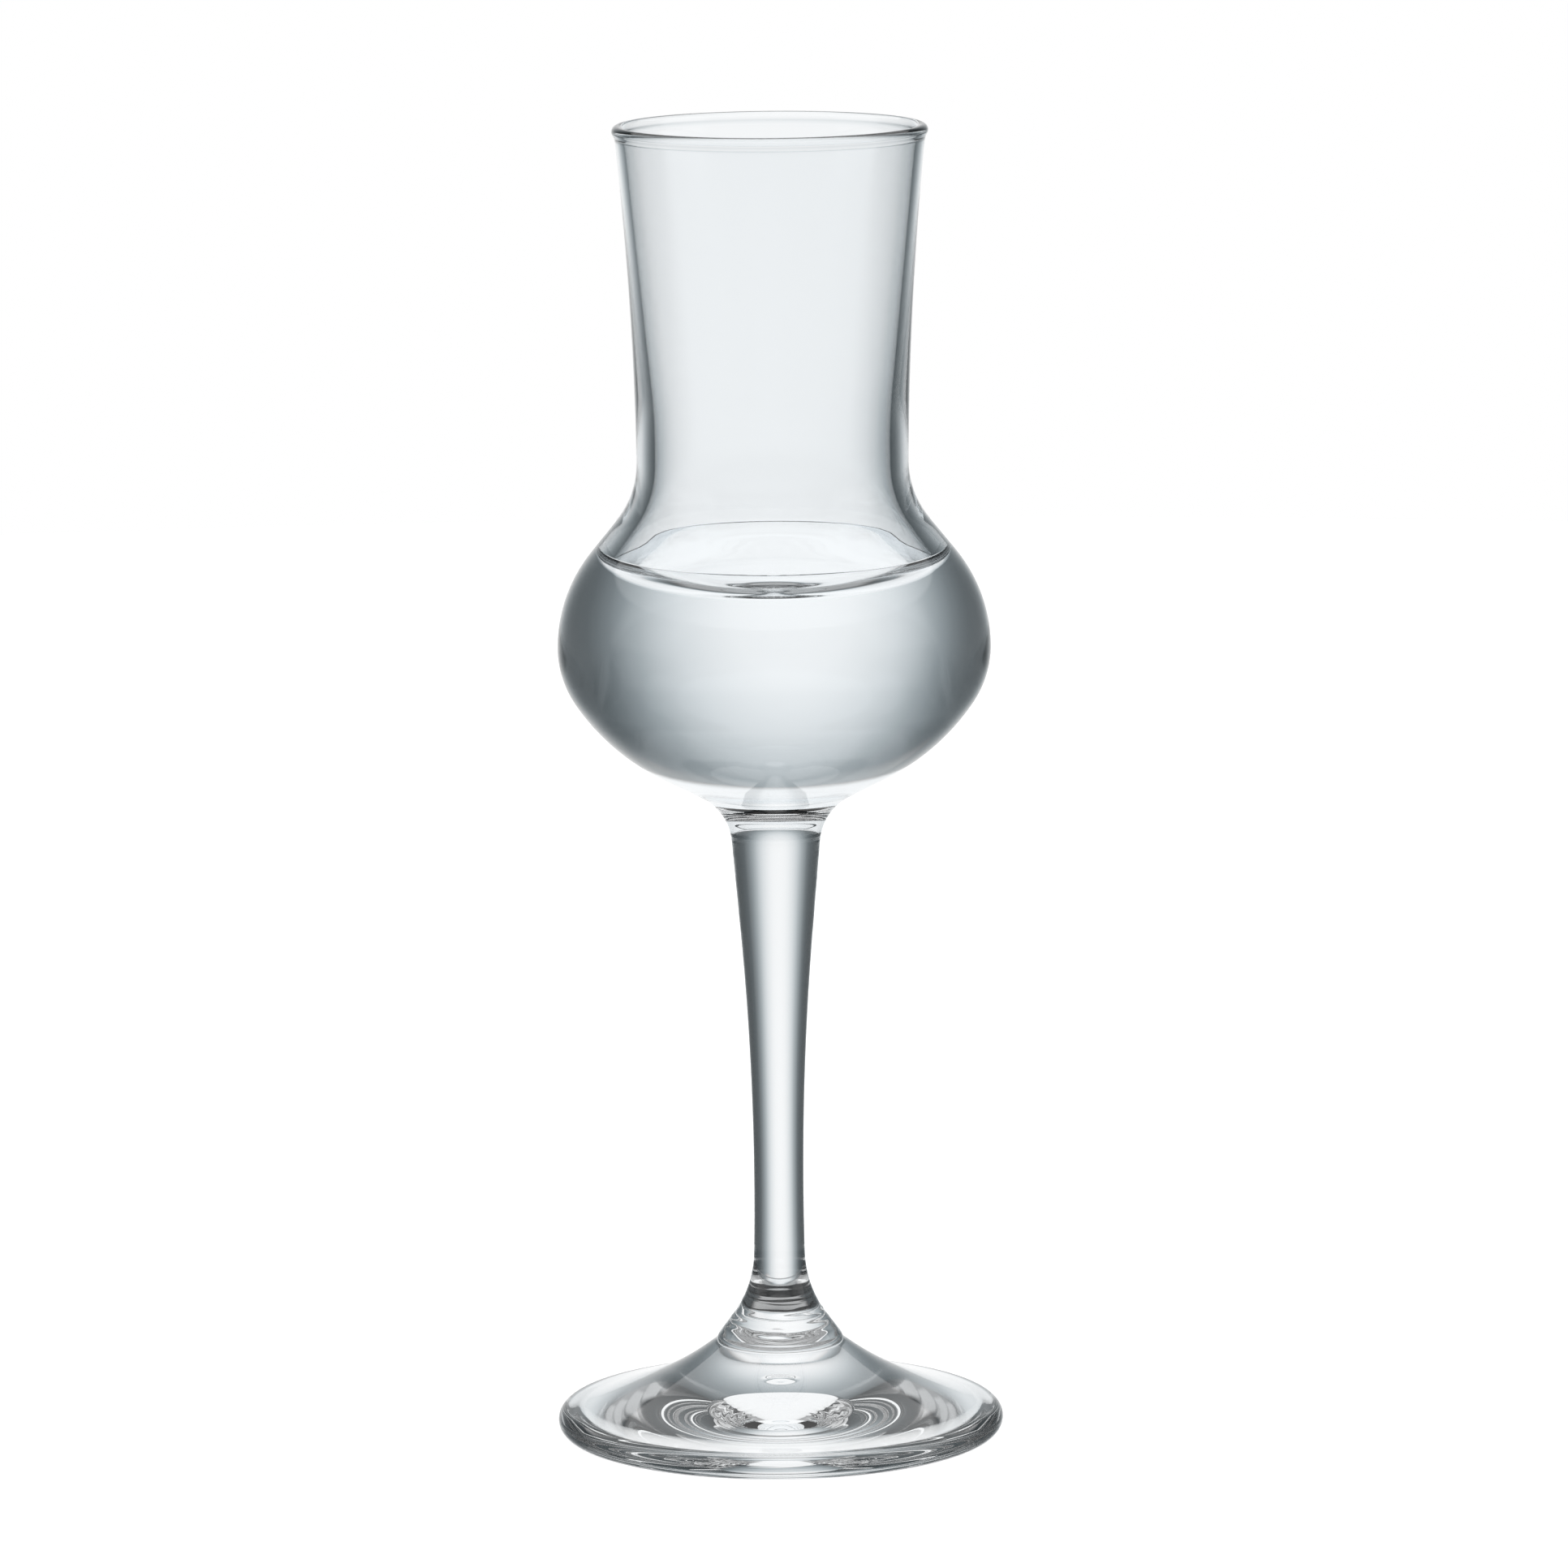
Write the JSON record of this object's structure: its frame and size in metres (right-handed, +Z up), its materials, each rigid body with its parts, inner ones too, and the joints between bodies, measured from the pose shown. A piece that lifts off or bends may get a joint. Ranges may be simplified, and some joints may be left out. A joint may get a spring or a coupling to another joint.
{
  "type": "grappa glass",
  "caption": "Clear stemmed grappa glass with a tall narrow neck, a squat bulb, a slim drawn stem and a round foot.",
  "frame": {"origin": "centre of the foot, on the plane that it stands on", "axes": "+Z up along the axis of the glass, which is round about it"},
  "size_m": [0.0584, 0.0584, 0.172],
  "materials": {
    "clear_glass": "clear, fire-polished"
  },
  "bodies": {
    "root": {"stem_glass": "clear_glass"}
  },
  "joints": []
}
